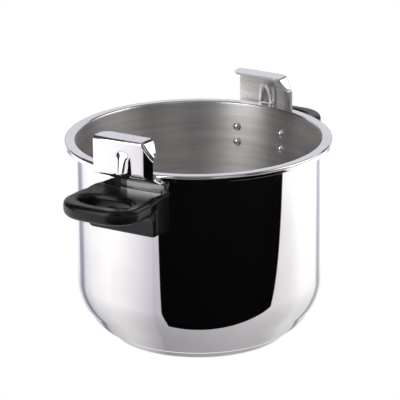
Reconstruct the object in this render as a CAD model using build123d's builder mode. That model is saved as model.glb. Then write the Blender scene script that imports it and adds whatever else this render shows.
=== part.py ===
from build123d import *
import os
from math import asin, atan2, cos, degrees, radians, sin, sqrt, tan

# A six-litre pressure-cooker vessel, in millimetres. Origin: centre of the base, on the surface
# it stands on. +Z up. The two handles lie on the X axis; the left side mirrors the right.

# vessel
vessel_inner_radius = 110.0
wall = 0.8
vessel_height = 182.5          # underside of the base to the top of the rim
rim_width = 10.0               # inner wall to the outside of the rolled rim
rim_lip_drop = 5.0             # height of the turned-down lip
rim_throat_radius = 2.2        # where the wall turns out into the rim
rim_edge_radius = 2.0          # where the rim turns down into the lip
bottom_curve_radius = 54.0     # big curve between wall and base
bottom_curve_top = 52.6        # height at which the wall becomes straight
bottom_corner_radius = 5.0     # small bend where that curve meets the flat floor

# sandwich base
base_height = 6.0
base_step = 4.1                # the cap stands this far inside the vessel's floor corner
cap_wall = 0.6
cap_edge_radius = 1.6
seam_gap = 0.4                 # open seam between the cap's edge and the vessel

# lock bracket; drops are measured down from the top of the rim
bracket_thickness = 1.8
bracket_standoff = 6.0         # rim to the outer face of the upright plate
bracket_front = -28.5          # end with the sloped corner
bracket_back = 29.4
bracket_rise = 29.1            # rim to the top lip
bracket_lip_reach = 18.6       # how far the top lip comes in over the rim
lip_bow = 2.0                  # how far the lip's inner edge bows in
lip_back_corner = 9.0
lip_front_corner = 15.5
slope_run = 8.0                # sloped corner: along Y
slope_drop = 13.0              # and down
bend_radius = 2.6              # outside of the pressed bends
joggle_drop = 4.0              # where the plate turns in under the rim
joggle_slope = 27.0            # degrees below level, back to the vessel wall
tongue_drop = 45.5             # lower end of the tongue riveted to the wall
tongue_half_width = 28.0
tongue_corner = 6.0
ear_half_width = 36.5          # the tongue is wider above the handle
ear_gap = 1.0                  # underside of the ears to the top of the handle
ear_corner = 3.0

# pressed stiffening rib in the bracket
rib_depth = 5.5
rib_half_width = 9.4
rib_foot_rise = 0.7            # above the turn-in of the plate
rib_head_gap = 6.8             # below the top lip
rib_taper = 36.0
rib_foot_radius = 7.0
rib_edge_radius = 1.0
rib_offset = -0.6              # rib centre along Y

# rivets
rivet_shank_radius = 2.5
rivet_head_radius = 3.9
rivet_head_height = 2.9
rivet_tail_radius = 3.4
rivet_tail_height = 1.8
rivet_half_span = 23.3         # rivets stand this far each side of the handle's middle
rivet_drops = (23.3, 38.1)
rivet_seat_gap = 0.08          # a flat head on a curved wall touches at its edges

# handle
handle_half_width = 35.0
handle_depth = 17.7            # vessel wall to the front of the block
handle_drop = 17.0
handle_height = 36.2
handle_wall = 2.6
handle_edge_radius = 2.5
block_corner_radius = 5.0
loop_thickness = 13.5
loop_half_width = 37.5
loop_reach = 50.5              # front of the block to the tip of the loop
loop_bow = 3.5                 # how far the loop's end bows out between its corners
loop_corner = 24.0
loop_neck = 10.0               # front of the block to where the loop reaches its full width
loop_edge_radius = 4.5
finger_hole_length = 50.0
finger_hole_width = 25.0
finger_hole_reach = 24.0       # front of the block to the middle of the hole
hole_edge_radius = 3.8
gusset = 9.0                   # concave blend under the loop
handle_wall_gap = 0.3          # moulding to vessel wall
tongue_slot_gap = 0.5          # moulding to bracket tongue

# handle screw and what it clamps
screw_drop = 40.0
screw_radius = 2.5
screw_head_radius = 4.6
screw_head_height = 3.0
slot_width = 1.2
slot_depth = 1.3
counterbore_radius = 6.0
counterbore_depth = 6.5
boss_radius = 8.2
nut_across_flats = 8.0
nut_height = 4.4
flat_washer_radius = 5.4
flat_washer_thickness = 1.0
spring_washer_radius = 4.4
spring_washer_thickness = 1.2
spring_washer_split = 1.0
screw_tip_gap = 0.6            # screw tip to bracket tongue
hole_clearance = 0.25          # round the screw, in plain holes
fit_clearance = 0.05           # threads and riveted shanks

# worked out from the sizes above
past = 5.0                     # how far a cutter runs past what it cuts
vessel_outer_radius = vessel_inner_radius + wall
rim_radius = vessel_inner_radius + rim_width
curve_centre = (vessel_outer_radius - bottom_curve_radius, bottom_curve_top)
floor_rise = bottom_curve_top - base_height
base_radius = curve_centre[0] + sqrt(bottom_curve_radius**2 - floor_rise**2) - base_step
tongue_outer = vessel_outer_radius + bracket_thickness
tongue_bottom = vessel_height - tongue_drop
grip = tongue_outer - vessel_inner_radius
rivet_angle = asin(rivet_half_span / vessel_inner_radius)
bracket_face = rim_radius + bracket_standoff
bracket_top = vessel_height + bracket_rise
joggle_top = vessel_height - joggle_drop
handle_face = vessel_outer_radius + handle_depth
handle_top = vessel_height - handle_drop
handle_bottom = handle_top - handle_height
loop_tip = handle_face + loop_reach
loop_neck_end = handle_face + loop_neck
finger_hole_centre = handle_face + finger_hole_reach
nut_face = tongue_outer + nut_height
counterbore_floor = handle_face - counterbore_depth
screw_height = vessel_height - screw_drop
screw_plane = Plane(origin=(counterbore_floor, 0, screw_height), x_dir=(0, 1, 0), z_dir=(1, 0, 0))

os.makedirs("parts", exist_ok=True)


def write(piece, name):
    """Label a finished piece and write its file."""
    piece.label = name
    export_step(piece, f"parts/{name}.step")


def write_pair(piece, name):
    """Write the right-hand piece and its mirror image on the left."""
    write(piece, f"{name}_right")
    write(mirror(piece, about=Plane.YZ), f"{name}_left")


def vessel_section(inset):
    """Half section of the vessel up to the rim, filled, inset from its outer skin."""
    floor = base_height + inset
    radius = bottom_curve_radius - inset
    side = vessel_outer_radius - inset
    sweep = degrees(asin((bottom_curve_top - floor) / radius))
    with BuildSketch(Plane.XZ) as section:
        with BuildLine():
            curve = CenterArc(curve_centre, radius, 0, -sweep)
            Polyline(curve @ 0, (side, vessel_height), (0, vessel_height), (0, floor), curve @ 1)
        make_face()
        floor_corner = vertices().group_by(Axis.Y)[0].sort_by(Axis.X)[-1]
        fillet(floor_corner, bottom_corner_radius - inset)
    return section.sketch


def rivet_places(side=1):
    """A plane on the inner wall for each rivet on one side of the vessel, facing outwards."""
    for drop in rivet_drops:
        for turn in (-rivet_angle, rivet_angle):
            outward = Vector(side * cos(turn), sin(turn), 0)
            start = outward * vessel_inner_radius + Vector(0, 0, vessel_height - drop)
            yield Plane(origin=start, x_dir=(0, 0, 1), z_dir=outward)


def arch(plane, inset):
    """The round-topped outline of the stiffening rib, inset all round."""
    half = rib_half_width - inset
    with BuildSketch(plane) as outline:
        with BuildLine():
            arch_centre = bracket_top - rib_head_gap - rib_half_width
            top = CenterArc((rib_offset, arch_centre), half, 0, 180)
            foot = joggle_top + rib_foot_rise + inset
            Polyline(top @ 1, (rib_offset - half, foot), (rib_offset + half, foot), top @ 0)
        make_face()
        fillet(vertices().group_by(Axis.Y)[0], rib_foot_radius - inset)
    return outline.sketch


# --- vessel: one deep-drawn sheet with a rolled rim ---------------------------------------
outer_section = vessel_section(0)
inner_section = vessel_section(wall)
with BuildPart() as pot_shell:
    revolve(outer_section, axis=Axis.Z)
    with BuildSketch(Plane.XZ):
        with BuildLine():
            Polyline(
                (vessel_inner_radius - wall, vessel_height),
                (rim_radius, vessel_height),
                (rim_radius, vessel_height - rim_lip_drop),
                (rim_radius - wall, vessel_height - rim_lip_drop),
                (rim_radius - wall, vessel_height - wall),
                (vessel_outer_radius, vessel_height - wall),
                (vessel_outer_radius, vessel_height - rim_lip_drop),
                (vessel_inner_radius - wall, vessel_height - rim_lip_drop),
                close=True,
            )
        make_face()
        corners = vertices().group_by(Axis.Y)
        fillet(corners[-1].sort_by(Axis.X)[-1], rim_edge_radius)
        inner_corners = vertices().group_by(Axis.Y)[-2].sort_by(Axis.X)
        fillet(inner_corners[-1], rim_edge_radius - wall)
        fillet(inner_corners[0], rim_throat_radius - wall)
    revolve(axis=Axis.Z)
    revolve(inner_section, axis=Axis.Z, mode=Mode.SUBTRACT)
    mouth = edges().filter_by(GeomType.CIRCLE).group_by(Axis.Z)[-1].sort_by(SortBy.RADIUS)[0]
    fillet(mouth, rim_throat_radius)
    with Locations(*rivet_places(1), *rivet_places(-1)):
        Cylinder(rivet_shank_radius + fit_clearance, 2 * grip, mode=Mode.SUBTRACT)
write(pot_shell.part, "pot_shell")

# --- sandwich base: an aluminium disc pressed into a steel cap ----------------------------
with BuildPart() as core_disc:
    with Locations((0, 0, cap_wall)):
        Cylinder(
            base_radius - cap_wall,
            base_height - cap_wall,
            align=(Align.CENTER, Align.CENTER, Align.MIN),
        )
    fillet(edges().group_by(Axis.Z)[0], cap_edge_radius - cap_wall)
write(core_disc.part, "core_disc")

with BuildPart() as base_cap:
    Cylinder(base_radius, base_height - seam_gap, align=(Align.CENTER, Align.CENTER, Align.MIN))
    fillet(edges().group_by(Axis.Z)[0], cap_edge_radius)
    add(core_disc.part, mode=Mode.SUBTRACT)
write(base_cap.part, "base_cap")

# --- lock bracket: a pressed plate that the lid's bar hooks under -------------------------
hook_inner = bracket_face - bracket_lip_reach
plate_inner = bracket_face - bracket_thickness
bracket_width = bracket_back - bracket_front
back_plane = Plane.XZ.offset(-bracket_back)
fold_y = bracket_front + slope_run
fold_angle = atan2(slope_drop, slope_run)
inner_fold_y = fold_y + bracket_thickness * tan(fold_angle / 2)
inner_top = bracket_top - bracket_thickness
joggle_angle = radians(joggle_slope)
joggle_inner = vessel_inner_radius - past
joggle_low = joggle_top - (bracket_face - joggle_inner) * tan(joggle_angle)
joggle_bend = joggle_top + bracket_thickness * (1 - sin(joggle_angle)) / cos(joggle_angle)
joggle_high = joggle_low + bracket_thickness / cos(joggle_angle)
plate_base = joggle_top + 3 * bend_radius
rib_skin = bracket_thickness * (1 - sin(radians(rib_taper))) / cos(radians(rib_taper))


def wall_strip(bottom, half_width):
    """Cross-section of sheet that lies on the vessel wall."""
    with BuildSketch(Plane.XY.offset(bottom)) as strip:
        Circle(tongue_outer)
        Circle(vessel_outer_radius, mode=Mode.SUBTRACT)
        with Locations((vessel_outer_radius, 0)):
            Rectangle(bracket_face, 2 * half_width, mode=Mode.INTERSECT)
    return strip.sketch


# tongue that lies on the vessel wall, with an ear each side above the handle
with BuildPart() as ears:
    extrude(wall_strip(handle_top + ear_gap, ear_half_width), amount=joggle_top - handle_top - ear_gap)
    fillet(edges().filter_by(Axis.X).group_by(Axis.Z)[0], ear_corner)

with BuildPart() as tongue:
    extrude(wall_strip(tongue_bottom, tongue_half_width), amount=joggle_top - tongue_bottom)
    fillet(edges().filter_by(Axis.X).group_by(Axis.Z)[0], tongue_corner)
    add(ears.part)
    with BuildSketch(Plane.XZ):
        with BuildLine():
            Polyline(
                (joggle_inner, joggle_low),
                (bracket_face, joggle_top),
                (joggle_inner, joggle_top + past),
                close=True,
            )
        make_face()
    extrude(amount=ear_half_width + past, both=True, mode=Mode.SUBTRACT)

# the plate's lower end turns in under the rim to meet the tongue
with BuildPart() as joggle:
    with BuildSketch(back_plane):
        with BuildLine():
            Polyline(
                (joggle_inner, joggle_low),
                (bracket_face, joggle_top),
                (bracket_face, plate_base),
                (plate_inner, plate_base),
                (plate_inner, joggle_bend),
                (joggle_inner, joggle_high),
                close=True,
            )
        make_face()
        fillet(vertices().filter_by_position(Axis.Y, joggle_top, joggle_top), bend_radius)
        fillet(
            vertices().filter_by_position(Axis.Y, joggle_bend, joggle_bend),
            bend_radius - bracket_thickness,
        )
    extrude(amount=bracket_width)
    with Locations((0, 0, joggle_low)):
        Cylinder(
            vessel_outer_radius,
            plate_base - joggle_low,
            align=(Align.CENTER, Align.CENTER, Align.MIN),
            mode=Mode.SUBTRACT,
        )

# the hook: upright plate, top lip and the flange down its sloped corner
with BuildPart() as hook:
    with BuildSketch(Plane.YZ.offset(hook_inner)):
        with BuildLine():
            Polyline(
                (bracket_back, plate_base),
                (bracket_back, bracket_top),
                (fold_y, bracket_top),
                (bracket_front, bracket_top - slope_drop),
                (bracket_front, plate_base),
                close=True,
            )
        make_face()
        fillet(vertices().group_by(Axis.Y)[-1].sort_by(Axis.X)[0], bend_radius)
    extrude(amount=bracket_lip_reach)
    outer_face = faces().sort_by(Axis.X)[-1]
    bends = outer_face.edges().filter_by_position(Axis.Z, bracket_top - slope_drop, bracket_top)
    fillet(bends, bend_radius)
    with BuildSketch(Plane.XY.offset(plate_base)):
        with BuildLine():
            edge = ThreePointArc(
                (hook_inner + lip_bow, bracket_back),
                (hook_inner, (bracket_back + bracket_front) / 2),
                (hook_inner + lip_bow, bracket_front),
            )
            Polyline(edge @ 1, (bracket_face, bracket_front), (bracket_face, bracket_back), edge @ 0)
        make_face()
        inner_corners = vertices().filter_by_position(Axis.X, hook_inner, hook_inner + 2 * lip_bow)
        fillet(inner_corners.sort_by(Axis.Y)[-1], lip_back_corner)
        fillet(inner_corners.sort_by(Axis.Y)[0], lip_front_corner)
    extrude(amount=bracket_top - plate_base, mode=Mode.INTERSECT)
    with BuildSketch(Plane.YZ.offset(hook_inner - past)):
        with BuildLine():
            foot_y = bracket_front - past
            foot_z = inner_top - (inner_fold_y - foot_y) * tan(fold_angle)
            Polyline(
                (bracket_back + past, plate_base - past),
                (bracket_back + past, inner_top),
                (inner_fold_y, inner_top),
                (foot_y, foot_z),
                (foot_y, plate_base - past),
                close=True,
            )
        make_face()
    extrude(amount=plate_inner - hook_inner + past, mode=Mode.SUBTRACT)

# the pressed rib, its pocket open towards the vessel
with BuildPart() as rib:
    extrude(arch(Plane.YZ.offset(bracket_face), 0), amount=rib_depth, taper=rib_taper)
    crest = faces().sort_by(Axis.X)[-1].edges()
    fillet(crest, rib_edge_radius + bracket_thickness)

with BuildPart() as pocket:
    pocket_mouth = arch(Plane.YZ.offset(plate_inner), rib_skin)
    extrude(pocket_mouth, amount=rib_depth, taper=rib_taper)
    crest = faces().sort_by(Axis.X)[-1].edges()
    fillet(crest, rib_edge_radius)

with BuildPart(mode=Mode.PRIVATE) as lock_bracket:
    add(tongue.part)
    add(joggle.part)
    add(hook.part)
    add(rib.part)
    add(pocket.part, mode=Mode.SUBTRACT)
    with Locations(*rivet_places()):
        Cylinder(rivet_shank_radius + fit_clearance, 2 * grip + past, mode=Mode.SUBTRACT)
write_pair(lock_bracket.part, "lock_bracket")

# --- rivets: dome heads inside, set tails over the tongue ---------------------------------
head_top = -rivet_seat_gap - rivet_head_height
with BuildPart() as rivet:
    with BuildSketch(Plane.XZ):
        with BuildLine():
            TangentArc((0, head_top), (rivet_head_radius, -rivet_seat_gap), tangent=(1, 0))
            Polyline(
                (rivet_head_radius, -rivet_seat_gap),
                (rivet_shank_radius, -rivet_seat_gap),
                (rivet_shank_radius, grip),
                (rivet_tail_radius, grip),
                (rivet_tail_radius, grip + rivet_tail_height),
                (0, grip + rivet_tail_height),
                (0, head_top),
            )
        make_face()
        fillet(vertices().sort_by(Axis.Y)[-2:].sort_by(Axis.X)[-1], rivet_tail_height / 2)
    revolve(axis=Axis.Z)
for number, place in enumerate(rivet_places(), start=1):
    write_pair(place.location * rivet.part, f"rivet_{number}")

# --- handle: a hollow moulded block with a finger loop ------------------------------------
with BuildPart() as loop:
    with BuildSketch(Plane.XY.offset(handle_top - loop_thickness)):
        with BuildLine():
            end = ThreePointArc(
                (loop_tip - loop_bow, -loop_half_width),
                (loop_tip, 0),
                (loop_tip - loop_bow, loop_half_width),
            )
            Polyline(
                end @ 1,
                (loop_neck_end, loop_half_width),
                (handle_face, handle_half_width),
                (tongue_outer, handle_half_width),
                (tongue_outer, -handle_half_width),
                (handle_face, -handle_half_width),
                (loop_neck_end, -loop_half_width),
                end @ 0,
            )
        make_face()
        fillet(vertices().group_by(Axis.X)[-1], loop_corner)
        shoulders = vertices().filter_by_position(Axis.X, handle_face, loop_neck_end)
        fillet(shoulders, loop_neck)
        with Locations((finger_hole_centre, 0)):
            Ellipse(finger_hole_width / 2, finger_hole_length / 2, mode=Mode.SUBTRACT)
    extrude(amount=loop_thickness)
    for face in faces().filter_by(Axis.Z):
        fillet(face.inner_wires().edges(), hole_edge_radius)
    for face in faces().filter_by(Axis.Z):
        rim_edges = face.outer_wire().edges()
        fillet(rim_edges.filter_by_position(Axis.X, handle_face, loop_tip), loop_edge_radius)

handle_length = handle_face - vessel_inner_radius + 3 * past
loop_bottom = handle_top - loop_thickness
with BuildPart() as block:
    with BuildSketch(Plane.YZ.offset(handle_face - handle_length)):
        with Locations((0, (handle_top + handle_bottom) / 2)):
            Rectangle(2 * handle_half_width, handle_top - handle_bottom)
        fillet(vertices().group_by(Axis.Y)[0], block_corner_radius)
        fillet(vertices().group_by(Axis.Y)[-1], handle_edge_radius)
    extrude(amount=handle_length)
    front_edges = faces().sort_by(Axis.X)[-1].edges()
    fillet(front_edges, handle_edge_radius)

# concave blend that carries the loop's underside into the block's face
with BuildPart() as web:
    with BuildSketch(Plane.XZ):
        with BuildLine():
            corner = (handle_face - handle_edge_radius, loop_bottom + handle_edge_radius)
            low = (handle_face - handle_edge_radius, loop_bottom - gusset)
            out = (handle_face + gusset, loop_bottom + handle_edge_radius)
            Line(corner, low)
            Line(low, (handle_face, loop_bottom - gusset))
            RadiusArc((handle_face, loop_bottom - gusset), (handle_face + gusset, loop_bottom), gusset)
            Line((handle_face + gusset, loop_bottom), out)
            Line(out, corner)
        make_face()
    extrude(amount=handle_half_width - handle_edge_radius, both=True)

with BuildPart() as handle:
    add(block.part)
    add(loop.part)
    add(web.part)
    # hollow behind the face, open to the vessel, with a boss for the screw
    with BuildSketch(Plane.YZ.offset(handle_face - handle_length)):
        with Locations((0, (handle_top + handle_bottom) / 2)):
            Rectangle(
                2 * (handle_half_width - handle_wall), handle_top - handle_bottom - 2 * handle_wall
            )
        fillet(vertices(), handle_edge_radius)
    extrude(amount=handle_length - handle_wall, mode=Mode.SUBTRACT)
    with BuildSketch(screw_plane.offset(nut_face - counterbore_floor)):
        Circle(boss_radius)
    extrude(amount=handle_face - handle_edge_radius - nut_face)
    with BuildSketch(screw_plane.offset(counterbore_depth)):
        Circle(counterbore_radius)
    extrude(amount=-counterbore_depth, mode=Mode.SUBTRACT)
    with BuildSketch(screw_plane):
        Circle(screw_radius + hole_clearance)
    extrude(amount=-handle_length, mode=Mode.SUBTRACT)
    # the back follows the vessel wall, with a slot where the tongue passes
    with Locations((0, 0, handle_bottom - past)):
        Cylinder(
            vessel_outer_radius + handle_wall_gap,
            handle_top - handle_bottom + 2 * past,
            align=(Align.CENTER, Align.CENTER, Align.MIN),
            mode=Mode.SUBTRACT,
        )
    with BuildSketch(Plane.XY.offset(handle_top + past)):
        Circle(tongue_outer + tongue_slot_gap)
        with Locations((vessel_outer_radius, 0)):
            Rectangle(bracket_face, 2 * (tongue_half_width + tongue_slot_gap), mode=Mode.INTERSECT)
    extrude(amount=-(handle_wall + 2 * past), mode=Mode.SUBTRACT)
write_pair(handle.part, "handle")

# --- handle screw, its washers and the nut welded to the tongue ---------------------------
stack = flat_washer_thickness + spring_washer_thickness
with BuildPart(screw_plane) as flat_washer:
    with BuildSketch(screw_plane):
        Circle(flat_washer_radius)
        Circle(screw_radius + hole_clearance, mode=Mode.SUBTRACT)
    extrude(amount=flat_washer_thickness)
write_pair(flat_washer.part, "flat_washer")

with BuildPart() as spring_washer:
    with BuildSketch(screw_plane.offset(flat_washer_thickness)):
        Circle(spring_washer_radius)
        Circle(screw_radius + hole_clearance, mode=Mode.SUBTRACT)
        with Locations((0, spring_washer_radius)):
            Rectangle(spring_washer_split, 2 * spring_washer_radius, mode=Mode.SUBTRACT)
    extrude(amount=spring_washer_thickness)
write_pair(spring_washer.part, "spring_washer")

with BuildPart() as handle_screw:
    with BuildSketch(screw_plane.offset(stack)):
        Circle(screw_head_radius)
    extrude(amount=screw_head_height)
    fillet(edges().filter_by(GeomType.CIRCLE).sort_by(Axis.X)[-1], screw_head_height / 3)
    with BuildSketch(screw_plane.offset(stack + screw_head_height)):
        Rectangle(slot_width, 3 * screw_head_radius)
    extrude(amount=-slot_depth, mode=Mode.SUBTRACT)
    with BuildSketch(screw_plane.offset(stack)):
        Circle(screw_radius)
    extrude(amount=-(counterbore_floor + stack - tongue_outer - screw_tip_gap))
write_pair(handle_screw.part, "handle_screw")

with BuildPart() as weld_nut:
    with BuildSketch(screw_plane.offset(tongue_outer - counterbore_floor)):
        RegularPolygon(nut_across_flats / 2, 6, major_radius=False)
        Circle(screw_radius + fit_clearance, mode=Mode.SUBTRACT)
    extrude(amount=nut_height)
write_pair(weld_nut.part, "weld_nut")
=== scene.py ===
from math import atan2, cos, hypot, pi, radians, sin, sqrt, tan

import bmesh
import bpy
from mathutils import Matrix, Vector


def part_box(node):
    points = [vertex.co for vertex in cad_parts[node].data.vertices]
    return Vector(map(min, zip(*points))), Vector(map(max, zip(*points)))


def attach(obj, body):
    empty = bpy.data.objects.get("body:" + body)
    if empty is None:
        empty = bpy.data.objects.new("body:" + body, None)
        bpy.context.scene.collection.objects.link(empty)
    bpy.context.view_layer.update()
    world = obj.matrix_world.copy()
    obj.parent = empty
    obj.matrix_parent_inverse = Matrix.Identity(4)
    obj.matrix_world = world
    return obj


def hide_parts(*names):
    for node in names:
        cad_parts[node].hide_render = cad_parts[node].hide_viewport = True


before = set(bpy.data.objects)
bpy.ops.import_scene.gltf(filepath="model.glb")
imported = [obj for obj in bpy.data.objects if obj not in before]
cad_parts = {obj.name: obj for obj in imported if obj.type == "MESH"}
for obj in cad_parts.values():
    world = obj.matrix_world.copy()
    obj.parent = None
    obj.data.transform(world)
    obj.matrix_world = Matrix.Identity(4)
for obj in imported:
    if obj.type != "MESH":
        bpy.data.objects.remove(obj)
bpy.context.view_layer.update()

MM = 0.001
SIDES = (("right", 1), ("left", -1))

# ---------------------------------------------------------------- camera
AZIMUTH = radians(-58.5)       # from straight in front, towards the left handle
ELEVATION = radians(18.51)
DISTANCE = 2.3345
TARGET = Vector((0, 0, 0.1217))
ROLL = radians(-0.5)
LENS = 232.9
SHIFT = 0.0028
TO_CAMERA = Vector((sin(AZIMUTH), -cos(AZIMUTH), 0))


def add_camera():
    """A long lens looking slightly down on the vessel, turned towards its left handle."""
    back = TO_CAMERA * cos(ELEVATION) + Vector((0, 0, sin(ELEVATION)))
    data = bpy.data.cameras.new("camera")
    data.sensor_width = 36.0
    data.lens = LENS
    data.shift_x = SHIFT
    data.clip_end = 20
    camera = bpy.data.objects.new("camera", data)
    bpy.context.scene.collection.objects.link(camera)
    look = (-back).to_track_quat("-Z", "Y").to_matrix()
    turn = look @ Matrix.Rotation(ROLL, 3, "Z")
    camera.matrix_world = Matrix.Translation(TARGET + back * DISTANCE) @ turn.to_4x4()
    bpy.context.scene.camera = camera


# ---------------------------------------------------------------- sizes, in millimetres
def box_mm(node):
    """A CAD node's lowest and highest corner, in millimetres."""
    low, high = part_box(node)
    return low / MM, high / MM


shell_low, shell_high = box_mm("pot_shell")
cap_low, cap_high = box_mm("base_cap")
bracket_low, bracket_high = box_mm("lock_bracket_right")
handle_low, handle_high = box_mm("handle_right")

WALL = 0.8
RIM_WIDTH = 10.0
RIM_RADIUS = shell_high.x
INNER_RADIUS = RIM_RADIUS - RIM_WIDTH
OUTER_RADIUS = INNER_RADIUS + WALL
RIM_TOP = shell_high.z
FLOOR = shell_low.z
LIP_DROP = 5.0                 # height of the rim's turned-down lip
THROAT = 2.2                   # bend where the wall turns out into the rim
RIM_EDGE = 2.0
LIP_BREAK = 0.1                # the lip's sheared edge is broken by this much
RIM_SUPPORT = 0.3
CURVE = 54.0                   # big curve between wall and floor
CURVE_TOP = 52.6
FLOOR_CORNER = 5.0
SUPPORT = 0.6                  # rings this far from a bend keep the flats flat

CAP_RADIUS = cap_high.x
CAP_WALL = 0.6
CAP_EDGE = 1.6

SHEET = 1.8                    # bracket thickness
BRACKET_FACE = 126.0
BRACKET_FRONT = -28.5
BRACKET_BACK = 29.4
BRACKET_REACH = 18.6
LIP_FRONT_CORNER = 13.0
LIP_BACK_CORNER = 9.0
SLOPE_RUN = 8.0
SLOPE_DROP = 13.0
FOLD = BRACKET_FRONT + SLOPE_RUN  # where the top lip ends and the sloped corner starts
SHEET_BEND = 2.6
JOGGLE_TOP = RIM_TOP - 4.0
JOGGLE_ANGLE = radians(27.0)
FOOT_BEND = 1.6
FOOT_CUTS = 8                  # splits the foot, so that the tongue follows the round wall
TONGUE_HALF_WIDTH = 28.0
TONGUE_CLEARANCE = 0.5
EAR_WIDTH = 7.0                # the tongue is this much wider at each side above the handle
EAR_BOTTOM = RIM_TOP - 16.0
RIB_DEPTH = 5.5
RIB_HALF_WIDTH = 9.4
RIB_OFFSET = -0.6
RIB_HEAD_GAP = 6.8
RIB_FOOT_RISE = 0.7
RIB_FOOT_BEND = 3.0
RIB_SHOULDER = 8.4             # width of the rib's rounded side
PRESS_GRID = 1.1               # spacing of the mesh lines that take the pressed shapes
CROWN_MIDDLE = 8.0             # the plate is bowed a little, highest along this line
CROWN_RADIUS = 330.0
CURL_WIDTH = 9.0               # the plate's front edge curls in over this width
CURL_RADIUS = 12.0
SLOPE_CURL = 5.0               # so much less of it along the sloped corner

RIVET_HALF_SPAN = 23.3
RIVET_DROPS = (23.3, 38.1)
RIVET_HEAD = 3.9
RIVET_HEAD_HEIGHT = 2.9
RIVET_SHANK = 2.5
RIVET_TAIL = 3.4
RIVET_TAIL_HEIGHT = 1.8
RIVET_SEAT_GAP = 0.08

HANDLE_HALF_WIDTH = 35.0
HANDLE_FACE = OUTER_RADIUS + 17.7
HANDLE_WALL = 2.6
WALL_GAP = 0.3
BLOCK_CORNER = 5.0
BLOCK_EDGE = 2.5
LOOP_THICKNESS = 13.5
LOOP_CORNER = 24.0
LOOP_EDGE = 4.5
LOOP_BOW = 3.5
LOOP_NECK = 10.0               # from the block's face to where the loop reaches its full width
HOLE_LENGTH = 50.0
HOLE_WIDTH = 25.0
HOLE_CENTRE = HANDLE_FACE + 24.0
SCREW_HEIGHT = RIM_TOP - 40.0
COUNTERBORE = 6.0
COUNTERBORE_DEPTH = 6.5
BOSS_RADIUS = 8.2
BOSS_LENGTH = 13.0
SCREW_CLEARANCE = 0.25
GUSSET = 12.0
GUSSET_INSET = 1.2
GUSSET_OVERLAP = 3.3           # how far the gusset reaches into the block and the loop
GUSSET_LAND = 0.2
MOULD_GRID = 0.75              # spacing of the mesh that melts the handle's shapes together
RIDGE = OUTER_RADIUS + 6.5     # where the block's top starts to slope down to the vessel
SHOULDER_DROP = 6.0
WASHERS = 2.2                  # flat washer and spring washer under the screw's head
SCREW_RADIUS = 2.5
SCREW_HEAD = 4.6
SCREW_HEAD_HEIGHT = 3.0
SLOT_WIDTH = 1.2
SLOT_DEPTH = 1.3


# ---------------------------------------------------------------- modelling helpers
def deselect_all():
    """Nothing selected, so that an operator acts on the new piece alone."""
    bpy.ops.object.select_all(action="DESELECT")


def edit(piece, kind="FACE"):
    """Open one piece in edit mode with nothing selected."""
    deselect_all()
    piece.select_set(True)
    bpy.context.view_layer.objects.active = piece
    bpy.ops.object.mode_set(mode="EDIT")
    bpy.ops.mesh.select_mode(type=kind)
    bpy.ops.mesh.select_all(action="DESELECT")


def done():
    """Leave edit mode."""
    bpy.ops.object.mode_set(mode="OBJECT")


def pick(piece, kind, test):
    """Select the faces, edges or vertices whose middle, in millimetres, passes a test."""
    mesh = bmesh.from_edit_mesh(piece.data)
    bpy.ops.mesh.select_mode(type=kind)
    bpy.ops.mesh.select_all(action="DESELECT")
    parts = {"FACE": mesh.faces, "EDGE": mesh.edges, "VERT": mesh.verts}[kind]
    for part in parts:
        if kind == "VERT":
            spots = [part.co / MM]
        else:
            spots = [corner.co / MM for corner in part.verts]
        middle = sum(spots, Vector()) / len(spots)
        if test(middle, spots):
            part.select = True
    mesh.select_flush_mode()
    bmesh.update_edit_mesh(piece.data)


def extrude(offset):
    """Extrude what is selected by an offset in millimetres."""
    bpy.ops.mesh.extrude_region_move(TRANSFORM_OT_translate={"value": tuple(Vector(offset) * MM)})


def resize(factors, centre):
    """Scale what is selected about a centre in millimetres."""
    bpy.ops.transform.resize(value=factors, center_override=tuple(Vector(centre) * MM))


def outward(piece):
    """Turn all normals outwards."""
    edit(piece)
    bpy.ops.mesh.select_all(action="SELECT")
    bpy.ops.mesh.remove_doubles(threshold=0.001 * MM)
    bpy.ops.mesh.normals_make_consistent(inside=False)
    done()


def settle(piece, name):
    """Name a piece and put its place into its mesh."""
    piece.name = name
    piece.data.name = name
    deselect_all()
    piece.select_set(True)
    bpy.context.view_layer.objects.active = piece
    bpy.ops.object.transform_apply(location=True, rotation=True, scale=True)
    return piece


def apply(piece, kind, **settings):
    """Add a modifier, set it and apply it."""
    modifier = piece.modifiers.new(kind.lower(), kind)
    for key, value in settings.items():
        setattr(modifier, key, value)
    deselect_all()
    piece.select_set(True)
    bpy.context.view_layer.objects.active = piece
    bpy.ops.object.modifier_apply(modifier=modifier.name)


def cut(piece, tool, operation="DIFFERENCE", solver="EXACT"):
    """Cut, join or trim a piece with a tool shape, which is then thrown away."""
    apply(piece, "BOOLEAN", operation=operation, object=tool, solver=solver)
    bpy.data.objects.remove(tool)


def smooth(piece, angle=35.0):
    """Shade curves smooth and keep real edges crisp."""
    deselect_all()
    piece.select_set(True)
    bpy.context.view_layer.objects.active = piece
    bpy.ops.object.shade_smooth_by_angle(angle=radians(angle))


def block(low, high, name="tool"):
    """A box between two corners in millimetres."""
    deselect_all()
    low, high = Vector(low), Vector(high)
    bpy.ops.mesh.primitive_cube_add(size=1, location=tuple((low + high) / 2 * MM))
    piece = bpy.context.object
    piece.scale = (high - low) * MM
    return settle(piece, name)


def rod(radius, start, end, segments=64, name="tool", squash=(1, 1)):
    """A round or oval bar from start to end, in millimetres, along X or Z."""
    deselect_all()
    start, end = Vector(start), Vector(end)
    along = end - start
    bpy.ops.mesh.primitive_cylinder_add(
        vertices=segments, radius=radius * MM, depth=along.length * MM,
        location=tuple((start + end) / 2 * MM),
    )
    piece = bpy.context.object
    piece.scale = (squash[0], squash[1], 1)
    piece.rotation_euler = along.to_track_quat("Z", "Y").to_euler()
    return settle(piece, name)


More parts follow.
